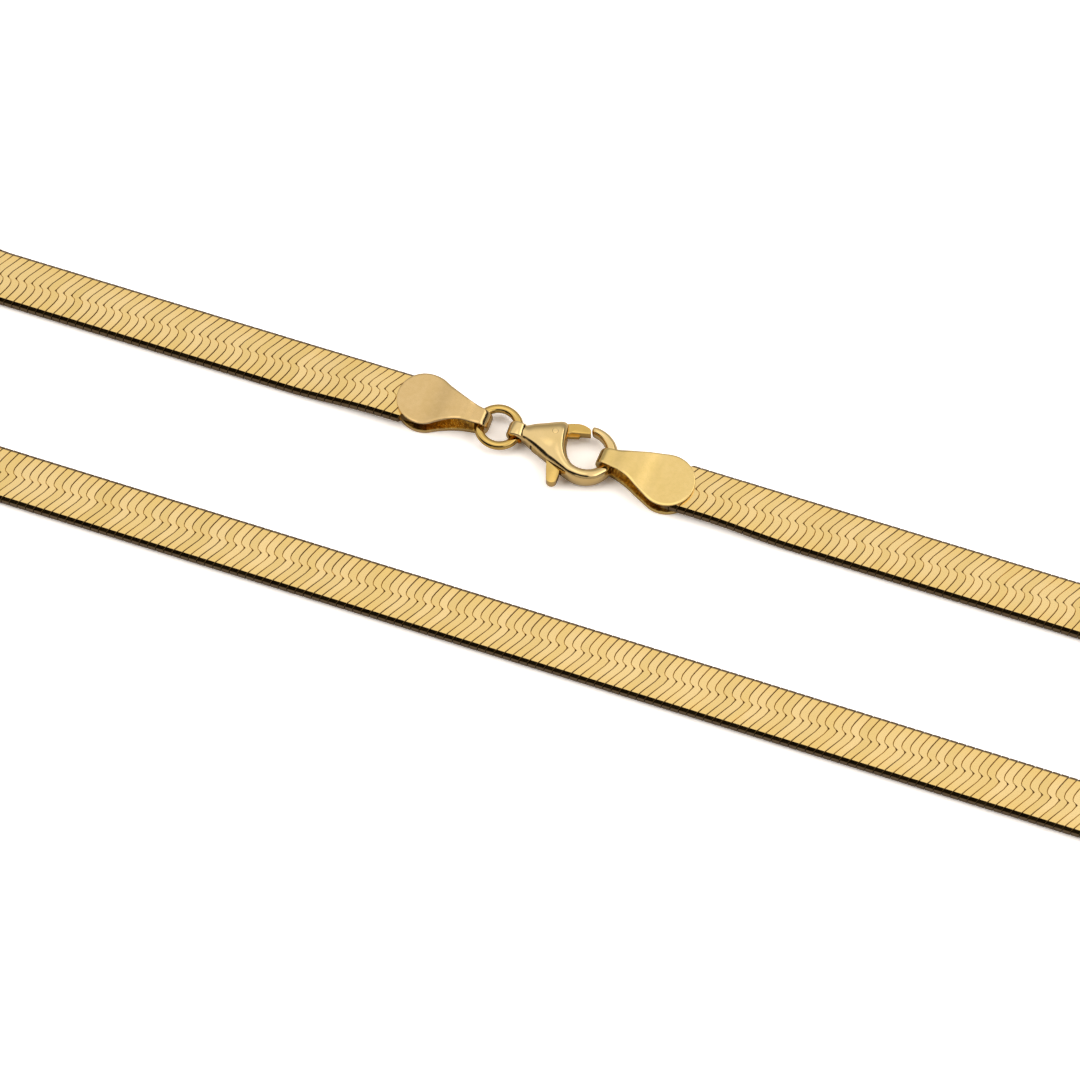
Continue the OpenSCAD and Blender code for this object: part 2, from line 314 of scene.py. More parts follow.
# %% Satin gold
def satin_gold(name, pale, deep):
    recipe = Recipe(bpy.data.materials.new(name))
    place = recipe.on_piece()
    cloud = recipe.noise(place, 0.35, 3)
    mottle = recipe.noise(place, 2.2, 2)
    peel = recipe.noise(place, 7, 4, 0.6)
    pits = recipe.add("ShaderNodeTexVoronoi", None, {"Vector": place, "Scale": 3.1},
                      output="Distance")
    pit = recipe.spread(pits, 0.03, 0.10, 1, 0) * recipe.spread(mottle, 0.52, 0.62)
    brushed = recipe.noise(recipe.on_piece((0.5, 9, 1), 31), 1.2, 3)
    inside = recipe.add("ShaderNodeAttribute", {"attribute_name": "inside"}, output="Fac")
    colour = recipe.blend(recipe.spread(0.6 * cloud + 0.4 * mottle, 0.35, 0.65), pale, deep)
    colour = recipe.blend(0.35 * pit, colour, PIT_BROWN)
    # Painted shade: the faces inside the fold take a mottled, darker gold.
    inside_shade = recipe.blend(recipe.spread(mottle, 0.4, 0.6), INSIDE_SHADE_DEEP, INSIDE_SHADE_PALE)
    colour = recipe.blend(inside, colour, inside_shade)
    rough = SATIN_ROUGH + 0.10 * (peel - 0.5) + 0.08 * (cloud - 0.5) + 0.1 * inside
    marks = recipe.add("ShaderNodeBump", None, {
        "Strength": 0.30, "Distance": MARK_DEPTH,
        "Height": 0.6 * peel + 0.25 * brushed - 0.5 * pit})
    return recipe.surface(Base_Color=colour, Metallic=1.0, Roughness=rough, Normal=marks)


# %% Polished gold
def polished_gold(name, deep, pale):
    recipe = Recipe(bpy.data.materials.new(name))
    place = recipe.on_piece()
    cloud = recipe.noise(place, 0.6, 3)
    ripple = recipe.noise(place, 1.6, 2)
    hair = recipe.noise(recipe.on_piece((1, 14, 1), 24), 1.5, 2)
    colour = recipe.blend(recipe.spread(cloud, 0.3, 0.7), deep, pale)
    rough = POLISHED_ROUGH + 0.05 * (cloud - 0.5) + 0.05 * (hair - 0.5)
    marks = recipe.add("ShaderNodeBump", None, {
        "Strength": 0.12, "Distance": RIPPLE_DEPTH, "Height": 0.93 * ripple + 0.07 * hair})
    return recipe.surface(Base_Color=colour, Metallic=1.0, Roughness=rough, Normal=marks)


WOVEN = woven_gold()
SHADED_GROOVE = groove_shade_gold()
SATIN_LEFT = satin_gold("satin gold, left tag", LEFT_PALE, LEFT_DEEP)
SATIN_RIGHT = satin_gold("satin gold, right tag", RIGHT_PALE, RIGHT_DEEP)
CAST = polished_gold("polished gold, clasp", CAST_DEEP, CAST_PALE)
POLISHED = polished_gold("polished gold", POLISH_DEEP, POLISH_PALE)
print("finishes:", [m.name for m in bpy.data.materials])

# %% [markdown]
# ## From a mesh to a piece
#
# Every piece ends the same way. Its mesh becomes an object at the origin, its faces are smoothed
# except across sharp edges, it wears its finish and rides on its body, and the imported node that it
# stands for is hidden.

# %% Hand a mesh in as a piece
def as_object(shape, name):
    mesh = bpy.data.meshes.new(name)
    shape.to_mesh(mesh)
    shape.free()
    thing = bpy.data.objects.new(name, mesh)
    scene.collection.objects.link(thing)
    return thing


def hand_in(shape, name, body, stands_for, finish, sharp=35):
    """The bmesh, in millimetres, becomes a piece of the model."""
    bmesh.ops.scale(shape, vec=(MM, MM, MM), verts=shape.verts)
    piece = as_object(shape, name)
    mesh = piece.data
    mesh.materials.append(finish)
    mesh.polygons.foreach_set("use_smooth", [True] * len(mesh.polygons))
    mesh.set_sharp_from_angle(angle=math.radians(sharp))
    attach(piece, body)
    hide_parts(stands_for)
    print(f"{name}: {sum(len(p.vertices) - 2 for p in mesh.polygons)} triangles")


def all_of(shape):
    return shape.verts[:] + shape.edges[:] + shape.faces[:]


def draw_wire(shape, points, z=0.0, filled=False):
    """A wire through points, grown from one vertex, and filled if asked. Returns its tip."""
    first = tip = bmesh.ops.create_vert(shape, co=(*points[0], z))["vert"][0]
    for point in points[1:]:
        tip = bmesh.ops.extrude_vert_indiv(shape, verts=[tip])["verts"][0]
        tip.co = (*point, z)
    if filled:
        bmesh.ops.contextual_create(shape, geom=[tip, first])
        bmesh.ops.contextual_create(shape, geom=shape.edges[:])
    return tip


def curve_through(points, steps=4):
    """Points on a smooth curve that passes through the given ones."""
    knots = [Vector((*point, 0)) for point in points]
    slopes = [(b - a) / 6 for a, b in zip(knots[:1] + knots, knots[1:] + knots[-1:])]
    line = [knots[0]]
    for a, b, leave, reach in zip(knots, knots[1:], slopes, slopes[1:]):
        line += interpolate_bezier(a, a + leave, b - reach, b, steps + 1)[1:]
    return [(point.x, point.y) for point in line]


def read_table(rows, at):
    """The value at a place in a table of (place, value) rows, joined by straight lines."""
    if at <= rows[0][0]:
        return rows[0][1]
    for (a, low), (b, high) in zip(rows, rows[1:]):
        if at <= b:
            return low + (high - low) * (at - a) / (b - a)
    return rows[-1][1]


def ease(low, high, at):
    """0 below low, 1 above high, and a smooth step between."""
    share = min(1.0, max(0.0, (at - low) / (high - low)))
    return share * share * (3 - 2 * share)


print("helpers are ready")

# %% [markdown]
# ## The way of the band
#
# A flat band turns edgewise only in wide bends. The two strands run straight, and at each end of
# the loop the band swings out, goes round and comes back. The way is a list of runs, each a length
# and the radius of its bend, and a point is found by walking along them from the left tag. Near its
# ends the band narrows and climbs a little, to where the tags hold it.

# %% Walk along the loop
BAND_W, END_W, BAND_T, BEND_R = 5.6, 5.2, 1.36, 17.75
FAR_LEFT_Y, FAR_RIGHT_Y, NEAR_Y = 10.6, 10.0, -10.3
LEFT_END_X, RIGHT_END_X = -15.69, 10.22
HELD, RISE, LIFT = 4.1, 10.0, 0.44

bulb_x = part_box("herringbone_chain")[1].x / MM - BEND_R - BAND_W / 2


def loop_end(far_y):
    """The three bends at one end of the loop, and how far past their start the bulb's middle is."""
    turn = math.acos(((far_y - NEAR_Y) / 2 + BEND_R) / (2 * BEND_R))
    swing = (BEND_R * turn, -BEND_R)
    return [swing, (BEND_R * (math.pi + 2 * turn), BEND_R), swing], 2 * BEND_R * math.sin(turn)


left_bends, left_reach = loop_end(FAR_LEFT_Y)
right_bends, right_reach = loop_end(FAR_RIGHT_Y)
runs = ([(bulb_x - left_reach + LEFT_END_X, None)] + left_bends
        + [(2 * bulb_x - left_reach - right_reach, None)] + right_bends
        + [(bulb_x - right_reach - RIGHT_END_X, None)])


def step_from(x, y, heading, length, radius):
    """Where a run leads to after a length, and its heading there."""
    if radius is None:
        return x + length * math.cos(heading), y + length * math.sin(heading), heading
    turned = heading + length / radius
    return (x + radius * (math.sin(turned) - math.sin(heading)),
            y - radius * (math.cos(turned) - math.cos(heading)), turned)


marks = [(0.0, LEFT_END_X, FAR_LEFT_Y, math.pi)]
for length, radius in runs:
    along, *place = marks[-1]
    marks.append((along + length, *step_from(*place, length, radius)))
BAND_LEN = marks[-1][0]


def on_band(along, across, up):
    """The point of the loop for a place on the straight band."""
    k = max(i for i in range(len(runs)) if marks[i][0] <= max(along, 0.0))
    start, x, y, heading = marks[k]
    x, y, heading = step_from(x, y, heading, along - start, runs[k][1])
    to_end = min(along, BAND_LEN - along)
    climb = 1 - ease(HELD, HELD + RISE, to_end)
    across *= 1 + (END_W / BAND_W - 1) * climb
    return (x - across * math.sin(heading), y + across * math.cos(heading), up + LIFT * climb)


print(f"the band is {BAND_LEN:.1f} mm long and ends at x {marks[-1][1]:.2f}, y {marks[-1][2]:.2f}")

# %% [markdown]
# ## One woven row
#
# Each row crosses the band in a slanted line with a kink in the middle, where it hooks past its
# neighbours. The side of a row is drawn as a wire and swept one pitch along the band. The strip
# gets its thickness by an extrusion, planes cut the slanted edges that the mill rolls on the
# band, and a small bevel round the top leaves a groove between one row and the next.

# %% Lay out the side of a row
# along the band, across it, half of the gap to the next row
ROW_SIDE = [
    (-0.12, -2.80, 0.050), (0.34, -2.00, 0.034), (1.14, -0.72, 0.022), (1.37, -0.17, 0.034),
    (1.39, -0.04, 0.085), (1.20, 0.10, 0.014), (0.97, 0.24, 0.012), (0.88, 0.48, 0.024),
    (0.89, 0.86, 0.034), (1.06, 1.38, 0.038), (1.33, 2.02, 0.036), (1.68, 2.80, 0.050)]
END_ROOM, ROW_START, WANTED_PITCH = 2.1, 0.3, 0.87
ROWS = round((BAND_LEN - END_ROOM) / WANTED_PITCH)
PITCH = (BAND_LEN - END_ROOM) / ROWS
ROLLED_W, ROLLED_H, GROOVE_BEVEL, TINY = 0.36, 0.32, 0.03, 1e-4
side_of = [(n, s) for s, n, _ in ROW_SIDE]
gap_of = [(n, gap) for _, n, gap in ROW_SIDE]
print(f"{ROWS} rows, {PITCH:.3f} mm apart")

# %% Model the row
def one_row():
    row = bmesh.new()
    draw_wire(row, [(s, n) for s, n, _ in ROW_SIDE])
    wire = row.verts[:]
    swept = bmesh.ops.extrude_edge_only(row, edges=row.edges[:])["geom"]
    far = [v for v in swept if isinstance(v, bmesh.types.BMVert)]
    bmesh.ops.translate(row, vec=(PITCH, 0, 0), verts=far)
    for side, vertices in ((1, wire), (-1, far)):
        for v in vertices:
            v.co.x += side * read_table(gap_of, v.co.y)
    raised = bmesh.ops.extrude_face_region(row, geom=row.faces[:])["geom"]
    bmesh.ops.translate(row, vec=(0, 0, BAND_T),
                        verts=[v for v in raised if isinstance(v, bmesh.types.BMVert)])
    bmesh.ops.recalc_face_normals(row, faces=row.faces)
    for side in (-1, 1):
        for level, slope in ((BAND_T, 1), (0, -1)):
            cut = bmesh.ops.bisect_plane(
                row, geom=all_of(row), dist=TINY, clear_outer=True,
                plane_co=(0, side * (BAND_W / 2 - ROLLED_W), level),
                plane_no=(0, side * ROLLED_H, slope * ROLLED_W))
            edges = [e for e in cut["geom_cut"] if isinstance(e, bmesh.types.BMEdge)]
            bmesh.ops.contextual_create(row, geom=edges)
    bmesh.ops.recalc_face_normals(row, faces=row.faces)
    rim = [e for e in row.edges if e.calc_face_angle(0) > 0.5
           and max(f.normal.z for f in e.link_faces) > 0.6]
    bmesh.ops.bevel(row, geom=rim, offset=GROOVE_BEVEL, offset_type="OFFSET", segments=1,
                    profile=0.5, affect="EDGES", material=-1, clamp_overlap=True)
    for up in (-1, 1):
        flat = [f for f in row.faces if f.normal.z * up > 0.99]
        bmesh.ops.dissolve_faces(row, faces=flat)
    bmesh.ops.translate(row, vec=(ROW_START, 0, 0), verts=row.verts)
    return row


sample = one_row()
print(f"a row has {len(sample.faces)} faces")
sample.free()

# %% [markdown]
# ## Rows along the band
#
# The row is copied along a straight band first, because that is a plain array. Then each vertex
# moves to its place on the loop. Rolled rows never lie perfectly level, so each one gets a tiny
# tilt along the band, a nod across it, and a tone of its own, which the woven gold reads. The tops
# are sunk by a hair to leave some room for the tilt. The band is handed in as five stretches.

# %% Lay a stretch of rows
TILT, NOD, SUNK = 0.010, 0.0025, 0.012
random.seed(45)
row_lie = [(random.gauss(0, TILT), random.gauss(0, NOD), random.random()) for _ in range(ROWS)]


def stretch_of_rows(name, first, last):
    band = one_row()
    bmesh.ops.translate(band, vec=(first * PITCH, 0, 0), verts=band.verts)
    bmesh.ops.spin(band, geom=all_of(band), cent=(0, 0, 0), axis=(0, 0, 1), angle=0,
                   steps=last - first - 1, dvec=(PITCH, 0, 0), use_duplicate=True)
    tone = band.verts.layers.float.new("row_tone")
    across = band.verts.layers.float.new("across")
    for v in band.verts:
        s, n, z = v.co
        offset = s - ROW_START - read_table(side_of, n)
        k = min(ROWS - 1, max(0, int(offset // PITCH)))
        tilt, nod, shade = row_lie[k]
        lean = tilt * (offset - (k + 0.5) * PITCH) + nod * n - SUNK
        v[tone], v[across] = shade, abs(n) / (BAND_W / 2)
        v.co = on_band(s, n, z + (lean if z > BAND_T / 2 else 0))
    hand_in(band, name, "necklace", "herringbone_chain", WOVEN, sharp=12)


cuts = [0, *(round(marks[i][0] / PITCH) for i in (1, 4, 5, 8)), ROWS]
for name, first, last in zip(["rows_far_left", "rows_left_end", "rows_near", "rows_right_end",
                              "rows_far_right"], cuts, cuts[1:]):
    stretch_of_rows(name, first, last)

# %% [markdown]
# ## What shows in the grooves
#
# Inside the band the rows overlap in hidden loops, so a groove is not open to the table. One strip
# stands for those loops. Its dark gold is painted shade, the shade deep in the grooves. It is a flat
# bar, spun out along a straight line in short steps and then laid on the loop.

# %% Lay the strip under the grooves
STRIP_SIDE, STRIP_LOW, STRIP_HIGH = 2.3, 0.2, 1.14
STRIP_START, STRIP_STEPS = 0.6, 330


def strip_under_grooves():
    strip = bmesh.new()
    draw_wire(strip, [(-STRIP_SIDE, STRIP_LOW), (STRIP_SIDE, STRIP_LOW),
                      (STRIP_SIDE, STRIP_HIGH), (-STRIP_SIDE, STRIP_HIGH)], filled=True)
    stand_up = Matrix(((0, 0, 1, STRIP_START), (1, 0, 0, 0), (0, 1, 0, 0), (0, 0, 0, 1)))
    bmesh.ops.transform(strip, matrix=stand_up, verts=strip.verts)
    step = (BAND_LEN - 2 * STRIP_START) / STRIP_STEPS
    bmesh.ops.spin(strip, geom=all_of(strip), cent=(0, 0, 0), axis=(0, 0, 1), angle=0,
                   steps=STRIP_STEPS, dvec=(step, 0, 0), use_duplicate=False)
    bmesh.ops.recalc_face_normals(strip, faces=strip.faces)
    for v in strip.verts:
        v.co = on_band(*v.co)
    hand_in(strip, "strip_under_grooves", "necklace", "herringbone_chain", SHADED_GROOVE)


strip_under_grooves()

# %% [markdown]
# ## The folded tags
#
# Each tag is one piece of sheet: two teardrops joined at a narrow neck, folded over so that the
# ring or the hook hangs in the fold. The flat blank is drawn as a quarter outline, mirrored twice
# and filled. A first inset gives it the rim that a punch rolls down, and a second one keeps the
# rest flat. Cuts across it let it bend. A cut snaps to a vertex that is nearly on it, so that it
# leaves no sliver. Then every vertex moves from the flat blank to the side view of the fold. A
# solidify and a bevel give the sheet its thickness and its soft rims.

# %% Draw and cut the blank
SHEET_T, FOLD_R, HEAD_R = 0.42, 1.3, 2.86
ROLLED, SHOULDER, FLAT_RIM, SHEET_SOFT = 0.20, 0.05, 0.10, 0.05
FOLD_ARC = FOLD_R * math.pi / 2
FOLD_CUTS, LEAF_CUTS, LEAF_STEP, SNAP, WELD = 9, 28, 0.3, 0.03, 1e-3
LEFT_TAG, RIGHT_TAG = {"length": 9.95, "taper": 27}, {"length": 10.35, "taper": 22}
# place and half width, of the fold along the blank and of a leaf along the folded tag
FOLD_SIDE = [(0, 0.83), (FOLD_ARC / 2, 0.85)]
TAG_SIDE = [(1.3, 0.935), (2.5, 1.14), (3.7, 1.50), (4.9, 2.03)]


def tag_blank(length, taper):
    """The flat blank. The taper is the angle round the head at which the sides run into it."""
    blank = bmesh.new()
    head_x = length - HEAD_R
    flat = FOLD_ARC - FOLD_R
    side = FOLD_SIDE + [(x + flat, half) for x, half in TAG_SIDE]
    start = math.radians(taper)
    reach = (head_x + flat - HEAD_R * math.sin(start), HEAD_R * math.cos(start))
    tip = draw_wire(blank, curve_through(side + [reach]))
    bmesh.ops.spin(blank, geom=[tip], cent=(head_x + flat, 0, 0), axis=(0, 0, -1),
                   angle=math.pi / 2 + start, steps=40, dvec=(0, 0, 0), use_duplicate=False)
    for axis in "YX":
        bmesh.ops.mirror(blank, geom=blank.verts[:] + blank.edges[:], matrix=Matrix(),
                         merge_dist=WELD, axis=axis)
    bmesh.ops.remove_doubles(blank, verts=blank.verts, dist=WELD)
    middle = bmesh.ops.contextual_create(blank, geom=blank.edges[:])["faces"]
    for width in (ROLLED, FLAT_RIM):
        bmesh.ops.inset_individual(blank, faces=middle, thickness=width, use_even_offset=True)
    for v in blank.verts:
        v.co.z = -SHOULDER if v.is_boundary else 0.0
    folds = [FOLD_ARC * k / FOLD_CUTS for k in range(-FOLD_CUTS, FOLD_CUTS + 1)]
    leaves = [FOLD_ARC + LEAF_STEP * k for k in range(1, LEAF_CUTS + 1)]
    for u in folds + leaves + [-u for u in leaves]:
        bmesh.ops.bisect_plane(blank, geom=all_of(blank), dist=SNAP, plane_co=(u, 0, 0),
                               plane_no=(1, 0, 0))
    return blank


blank = tag_blank(**LEFT_TAG)
print(f"the flat blank has {len(blank.faces)} faces")
blank.free()

# %% Fold the blank over
# how the upper leaf rises and then sinks along the tag: start, end and height of each change
LEAF_BOW = [(1.3, 3.2, 0.38), (3.5, 7.1, -0.74)]


def folded(u, v, rise):
    """A point of the flat blank, on the outside of the folded sheet."""
    if abs(u) < FOLD_ARC:
        turn, reach = u / FOLD_R, FOLD_R + rise
        return FOLD_R - reach * math.cos(turn), v, FOLD_R + reach * math.sin(turn)
    x = abs(u) - FOLD_ARC + FOLD_R
    if u < 0:
        return x, v, -rise
    bow = sum(height * ease(start, end, x) for start, end, height in LEAF_BOW)
    return x, v, 2 * FOLD_R + bow + rise


def end_tag(name, stands_for, fold_at, turn, length, taper, finish):
    tag = tag_blank(length, taper)
    for v in tag.verts:
        v.co = folded(*v.co)
    bmesh.ops.recalc_face_normals(tag, faces=tag.faces)
    upper = max(tag.faces, key=lambda f: f.calc_center_median().z)
    if upper.normal.z < 0:
        bmesh.ops.reverse_faces(tag, faces=tag.faces)
    bmesh.ops.solidify(tag, geom=tag.faces[:], thickness=SHEET_T)
    rims = [e for e in tag.edges if e.calc_face_angle(0) > 0.9]
    bmesh.ops.bevel(tag, geom=rims, offset=SHEET_SOFT, offset_type="OFFSET", segments=3,
                    profile=0.5, affect="EDGES", material=-1)
    # Faces that look into the fold are marked for the painted shade of the satin gold.
    inside = tag.faces.layers.float.new("inside")
    for face in tag.faces:
        at = face.calc_center_median()
        to_middle = Vector((max(at.x, FOLD_R) - at.x, 0, FOLD_R - at.z)).normalized()
        face[inside] = ease(0.3, 0.7, face.normal.dot(to_middle))
    bmesh.ops.rotate(tag, cent=(0, 0, 0), matrix=Matrix.Rotation(math.radians(turn), 3, "Z"),
                     verts=tag.verts)
    bmesh.ops.translate(tag, vec=(*fold_at, 0), verts=tag.verts)
    hand_in(tag, name, "necklace", stands_for, finish, sharp=30)


end_tag("tag_left", "end_tag_left", fold_at=(-8.64, 10.5), turn=180 - 1.8, finish=SATIN_LEFT,
        **LEFT_TAG)
end_tag("tag_right", "end_tag_right", fold_at=(2.77, 10.46), turn=-4.5, finish=SATIN_RIGHT,
        **RIGHT_TAG)

# %% [markdown]
# ## The jump ring
#
# Round wire bent into a ring and soldered shut. A circle spun once round gives it, with the doubles
# merged where the spin closes. The ring leans a little and lies lower in the eye than in the fold.
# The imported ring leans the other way.

# %% Spin the ring
RING_R, WIRE_R, RING_DROP, RING_AT = 2.06, 0.45, 0.28, (-7.77, 10.5, 1.24)


def jump_ring():
    ring = bmesh.new()
    wire = bmesh.ops.create_circle(ring, segments=24, radius=WIRE_R)["verts"]
    bmesh.ops.rotate(ring, cent=(0, 0, 0), matrix=Matrix.Rotation(math.pi / 2, 3, "X"), verts=wire)
    bmesh.ops.translate(ring, vec=(RING_R, 0, 0), verts=wire)
    bmesh.ops.spin(ring, geom=ring.verts[:] + ring.edges[:], cent=(0, 0, 0), axis=(0, 0, 1),
                   angle=2 * math.pi, steps=96, dvec=(0, 0, 0), use_merge=True,
                   use_duplicate=False)
    bmesh.ops.remove_doubles(ring, verts=ring.verts, dist=TINY)
    bmesh.ops.recalc_face_normals(ring, faces=ring.faces)
    lean = math.asin(RING_DROP / (2 * RING_R))
    bmesh.ops.rotate(ring, cent=(0, 0, 0), matrix=Matrix.Rotation(lean, 3, "Y"), verts=ring.verts)
    bmesh.ops.translate(ring, vec=RING_AT, verts=ring.verts)
    hand_in(ring, "ring", "necklace", "jump_ring", POLISHED)


jump_ring()

# %% [markdown]
# ## The clasp's cast body
#
# A lobster clasp is cast in one piece: a hook that thickens into two cheeks, a neck and an eye. It
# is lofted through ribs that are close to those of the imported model. Each rib is a ring of vertices
# grown from the one before, and a subdivision surface makes the casting smooth. The eye is joined
# on, and the slot and the holes are carved out afterwards.

# %% Ribs of the casting
# a circle's middle, its radius, and the angles in degrees from the hook's tip to its root
HOOK_OUTER, HOOK_INNER = ((1.60, 10.27), 3.23, (99, -98)), ((1.47, 10.50), 2.05, (91, -102))
# height of the hook, and height of its middle, by angle
HOOK_HEIGHT = [(-98, 2.66), (-70, 2.48), (-40, 1.95), (-22, 1.50), (0, 1.42), (99, 1.42)]
HOOK_MIDDLE = [(-98, 1.38), (-40, 1.30), (99, 1.30)]
BODY_H, HOOK_STEPS = 2.9, 14
# how square a side of a rib is, and how far it domes
HOOK_FORM, OUTER_FORM, INNER_FORM = (2.4, 0.08), (3.0, 0.18), (3.3, 0.29)
# outer x and y, inner x and y, height as a share of the body's
BODY_RIBS = [
    (0.50, 7.22, 0.58, 8.66, 0.86), (-0.05, 7.42, 0.15, 9.02, 0.90),
    (-0.60, 7.63, -0.25, 9.62, 0.93), (-1.10, 7.84, -0.55, 10.45, 0.96),
    (-1.55, 8.03, -0.72, 11.40, 0.985), (-1.95, 8.20, -0.84, 12.25, 1.00),
    (-2.15, 8.29, -1.00, 12.78, 1.00), (-2.40, 8.40, -1.55, 13.02, 1.00),
    (-2.75, 8.57, -2.20, 12.72, 0.985), (-3.25, 8.82, -3.00, 12.34, 0.95),
    (-3.80, 9.09, -3.80, 11.98, 0.89), (-4.35, 9.34, -4.35, 11.76, 0.80),
    (-4.75, 9.56, -4.75, 11.50, 0.68), (-5.10, 9.66, -5.10, 11.30, 0.61),
    (-5.45, 9.68, -5.45, 11.24, 0.59)]


def on_circle(circle, share):
    (x, y), radius, (first, last) = circle
    turn = math.radians(first + (last - first) * share)
    return Vector((x + radius * math.cos(turn), y + radius * math.sin(turn)))


def casting_ribs():
    """Each rib: outer and inner point, height, middle, and the forms of its two sides."""
    ribs = []
    tip, root = HOOK_OUTER[2]
    for k in range(HOOK_STEPS + 1):
        share = k / HOOK_STEPS
        turn = tip + (root - tip) * share
        ribs.append((on_circle(HOOK_OUTER, share), on_circle(HOOK_INNER, share),
                     read_table(HOOK_HEIGHT, turn), read_table(HOOK_MIDDLE, turn),
                     HOOK_FORM, HOOK_FORM))
    for ox, oy, ix, iy, share in BODY_RIBS:
        ribs.append((Vector((ox, oy)), Vector((ix, iy)), share * BODY_H, BODY_H / 2,
                     OUTER_FORM, INNER_FORM))
    return ribs


print(f"{len(casting_ribs())} ribs")

# %% Loft the casting
def loft_through(ribs, points=24):
    """A closed skin through the ribs. Each ring of vertices is extruded from the ring before."""
    skin = bmesh.new()
    place = skin.verts.layers.int.new("place")
    ring = bmesh.ops.create_circle(skin, segments=points, radius=1)["verts"]
    bmesh.ops.contextual_create(skin, geom=ring)
    for k, v in enumerate(ring):
        v[place] = k
    for number, (outer, inner, height, middle, *forms) in enumerate(ribs):
        if number:
            edges = [e for e in skin.edges if e.verts[0] in ring and e.verts[1] in ring]
            grown = bmesh.ops.extrude_edge_only(skin, edges=edges)["geom"]
            ring = [v for v in grown if isinstance(v, bmesh.types.BMVert)]
        for v in ring:
            turn = 2 * math.pi * v[place] / points
            squareness, dome = forms[0 if math.cos(turn) > 0 else 1]
            across, up = (math.copysign(abs(c) ** (2 / squareness), c)
                          for c in (math.cos(turn), math.sin(turn)))
            at = (outer + inner) / 2 + (outer - inner) / 2 * across
            v.co = (at.x, at.y, middle + height / 2 * up * (1 - dome * across ** 2))
    bmesh.ops.contextual_create(skin, geom=ring)
    bmesh.ops.recalc_face_normals(skin, faces=skin.faces)
    return skin


def set_mesh(thing):
    """Makes what the modifiers show into the object's own mesh."""
    bpy.context.view_layer.update()
    seen = thing.evaluated_get(bpy.context.evaluated_depsgraph_get())
    mesh = bpy.data.meshes.new_from_object(seen)
    thing.modifiers.clear()
    thing.data = mesh


def carve(thing, tools):
    """Adds or cuts away each tool's shape: (object, "UNION" or "DIFFERENCE")."""
    for tool, how in tools:
        boolean = thing.modifiers.new("carve", "BOOLEAN")
        boolean.operation, boolean.solver, boolean.object = how, "EXACT", tool
    set_mesh(thing)
    for tool, _ in tools:
        bpy.data.objects.remove(tool)


def take_back(thing):
    """The bmesh of an object that was only a step on the way."""
    shape = bmesh.new()
    shape.from_mesh(thing.data)
    bpy.data.objects.remove(thing)
    return shape


casting = as_object(loft_through(casting_ribs()), "casting")
smooth = casting.modifiers.new("smooth", "SUBSURF")
smooth.levels = smooth.render_levels = 2
set_mesh(casting)
print(f"the casting has {len(casting.data.polygons)} faces")

# %% Carve the eye, the slot and the pin's hole
EYE_AT, EYE_R, EYE_HOLE_R, EYE_LEN, EYE_SOFT = (-5.75, 10.45, BODY_H / 2), 1.05, 0.68, 1.58, 0.22
LEVER_T, LEVER_BELOW_MIDDLE, SLOT_GAP = 1.05, 0.1, 0.075
LEVER_Z = BODY_H / 2 - LEVER_BELOW_MIDDLE - LEVER_T / 2
PIVOT_AT, PIN_R, PIN_HOLE_R, BORE_R = (-2.0, 11.2, BODY_H / 2), 0.3, 0.305, 0.34
EYE_DRILL, PIN_DRILL = 4, 5
SLOT = [(-0.15, 6.00), (-0.15, 9.60), (0.30, 9.90), (0.30, 13.60), (-1.50, 13.60),
        (-1.72, 12.66), (-2.50, 12.14), (-2.98, 11.60), (-3.30, 11.10), (-4.35, 10.75),
        (-4.62, 10.20), (-4.29, 9.60), (-3.90, 9.05), (-3.70, 8.60), (-3.60, 6.00)]


def drum(name, at, axis, radius, length, soft=0.0):
    """A round bar, with soft rims where it shows."""
    bar = bmesh.new()
    bmesh.ops.create_cone(bar, cap_ends=True, segments=64, radius1=radius, radius2=radius,
                          depth=length)
    if soft:
        rims = [e for e in bar.edges if e.calc_face_angle(0) > 1]
        bmesh.ops.bevel(bar, geom=rims, offset=soft, offset_type="OFFSET", segments=4,
                        profile=0.5, affect="EDGES", material=-1)
    turn = Vector((0, 0, 1)).rotation_difference(Vector(axis)).to_matrix()
    bmesh.ops.rotate(bar, cent=(0, 0, 0), matrix=turn, verts=bar.verts)
    bmesh.ops.translate(bar, vec=at, verts=bar.verts)
    return as_object(bar, name)


def plate(points, low, high):
    """A flat outline drawn as a wire, filled and raised to a plate."""
    slab = bmesh.new()
    draw_wire(slab, points, low, filled=True)
    raised = bmesh.ops.extrude_face_region(slab, geom=slab.faces[:])["geom"]
    bmesh.ops.translate(slab, vec=(0, 0, high - low),
                        verts=[v for v in raised if isinstance(v, bmesh.types.BMVert)])
    bmesh.ops.recalc_face_normals(slab, faces=slab.faces)
    return slab


carve(casting, [
    (drum("eye", EYE_AT, (0, 1, 0), EYE_R, EYE_LEN, EYE_SOFT), "UNION"),
    (drum("eye hole", EYE_AT, (0, 1, 0), EYE_HOLE_R, EYE_DRILL), "DIFFERENCE"),
    (as_object(plate(SLOT, LEVER_Z - SLOT_GAP, LEVER_Z + LEVER_T + SLOT_GAP), "slot"),
     "DIFFERENCE"),
    (drum("pin hole", PIVOT_AT, (0, 0, 1), PIN_HOLE_R, PIN_DRILL), "DIFFERENCE")])
hand_in(take_back(casting), "clasp_casting", "necklace", "clasp_body", CAST,
        sharp=40)

# %% [markdown]
# ## The lever
#
# The lever is one flat piece: the gate that closes the hook, an arm along the throat and the thumb
# tab, which ends in a true arc. The outline is raised to a plate with soft rims, and a thinner step
# runs along part of the gate's inner edge. It rides on its own body, so it opens with the joint.

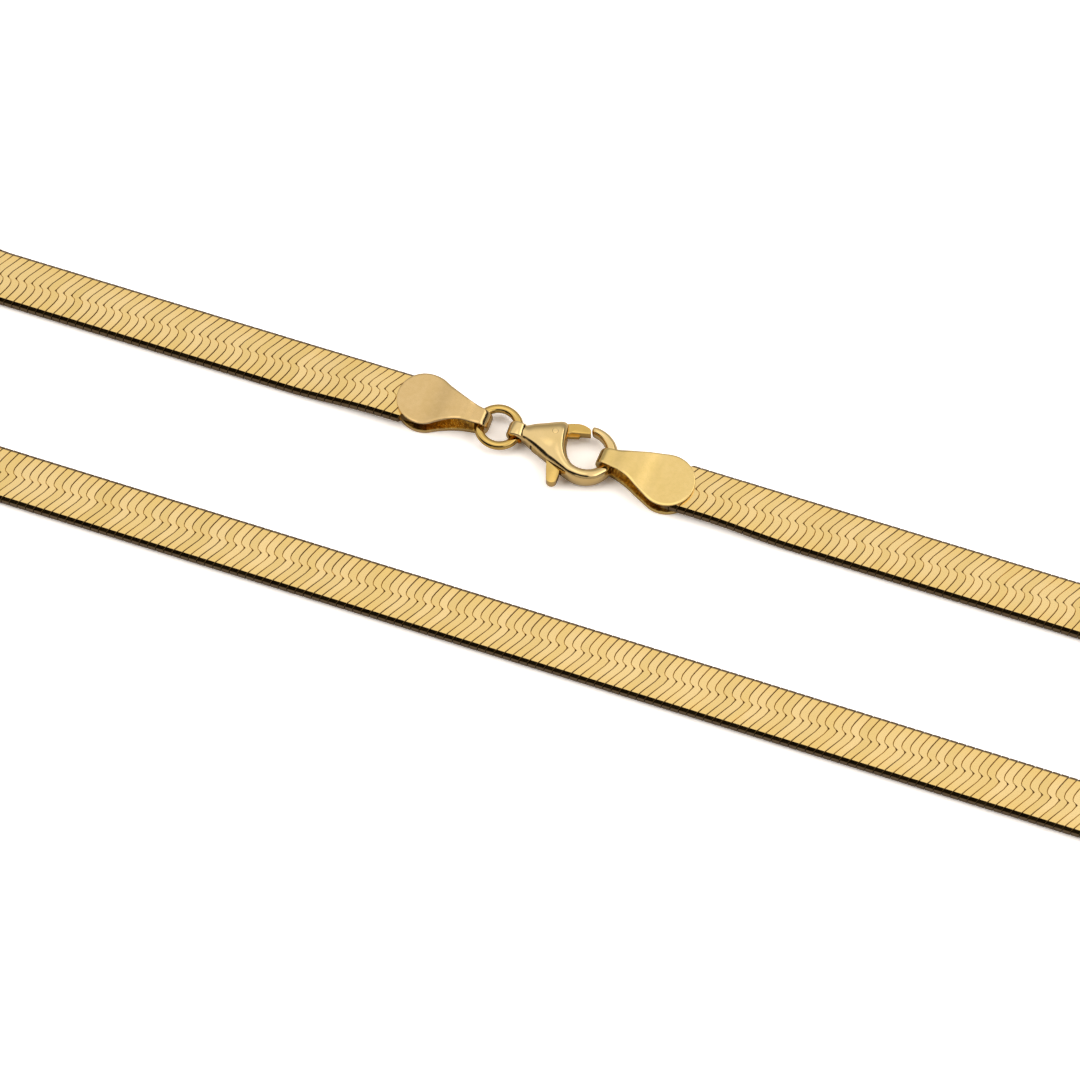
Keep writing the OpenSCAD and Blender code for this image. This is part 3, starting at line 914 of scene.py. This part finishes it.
# %% Draw the lever
LEVER_OUTLINE = [
    (-2.50, 11.80), (-1.60, 12.56), (-0.90, 12.93), (-0.10, 13.17), (0.40, 13.19),
    (0.92, 13.08), (1.27, 12.88), (1.36, 12.43), (-0.55, 11.97), (-0.82, 11.70),
    (-0.80, 10.20), (-0.42, 8.30), (-0.29, 7.10), (-0.30, 6.56)]
LEVER_BACK = [(-1.42, 6.56), (-1.62, 7.10), (-1.88, 7.95), (-2.06, 8.46), (-3.84, 9.13),
              (-3.65, 9.75), (-2.74, 10.90)]
LEVER_STEP, STEP_T = [(-0.95, 12.30), (-0.95, 11.62), (0.26, 11.95), (0.40, 12.40)], 0.52
TAB_X, TAB_Y, TAB_R, TAB_PARTS = -0.86, 6.56, 0.56, 16
GATE_Y, GATE_SOFT, LEVER_SOFT = 12.5, 0.2, 0.09


def lever():
    tab = [(TAB_X + TAB_R * math.cos(t), TAB_Y - TAB_R * math.sin(t))
           for t in (math.pi * k / TAB_PARTS for k in range(1, TAB_PARTS))]
    slab = plate(LEVER_OUTLINE + tab + LEVER_BACK, LEVER_Z, LEVER_Z + LEVER_T)
    corners = [e for e in slab.edges if e.calc_face_angle(0) < 1 and e.verts[0].co.y > GATE_Y]
    bmesh.ops.bevel(slab, geom=corners, offset=GATE_SOFT, offset_type="OFFSET", segments=5,
                    profile=0.5, affect="EDGES", material=-1, clamp_overlap=True)
    rims = [e for e in slab.edges if e.calc_face_angle(0) > 1 and abs(
        (e.verts[0].co - e.verts[1].co).normalized().z) < 0.5]
    bmesh.ops.bevel(slab, geom=rims, offset=LEVER_SOFT, offset_type="OFFSET", segments=3,
                    profile=0.5, affect="EDGES", material=-1, clamp_overlap=True)
    bar = as_object(slab, "bar")
    carve(bar, [(as_object(plate(LEVER_STEP, LEVER_Z, LEVER_Z + STEP_T), "step"), "UNION"),
                (drum("bore", PIVOT_AT, (0, 0, 1), BORE_R, PIN_DRILL), "DIFFERENCE")])
    hand_in(take_back(bar), "lever_arm", "lever", "clasp_lever", POLISHED,
            sharp=40)


lever()

# %% The pivot pin
PIN_LEN, PIN_SOFT = BODY_H - 0.12, 0.06


def pivot_pin():
    bar = drum("bar", PIVOT_AT, (0, 0, 1), PIN_R, PIN_LEN, PIN_SOFT)
    hand_in(take_back(bar), "pin", "necklace", "lever_pin", CAST)


pivot_pin()
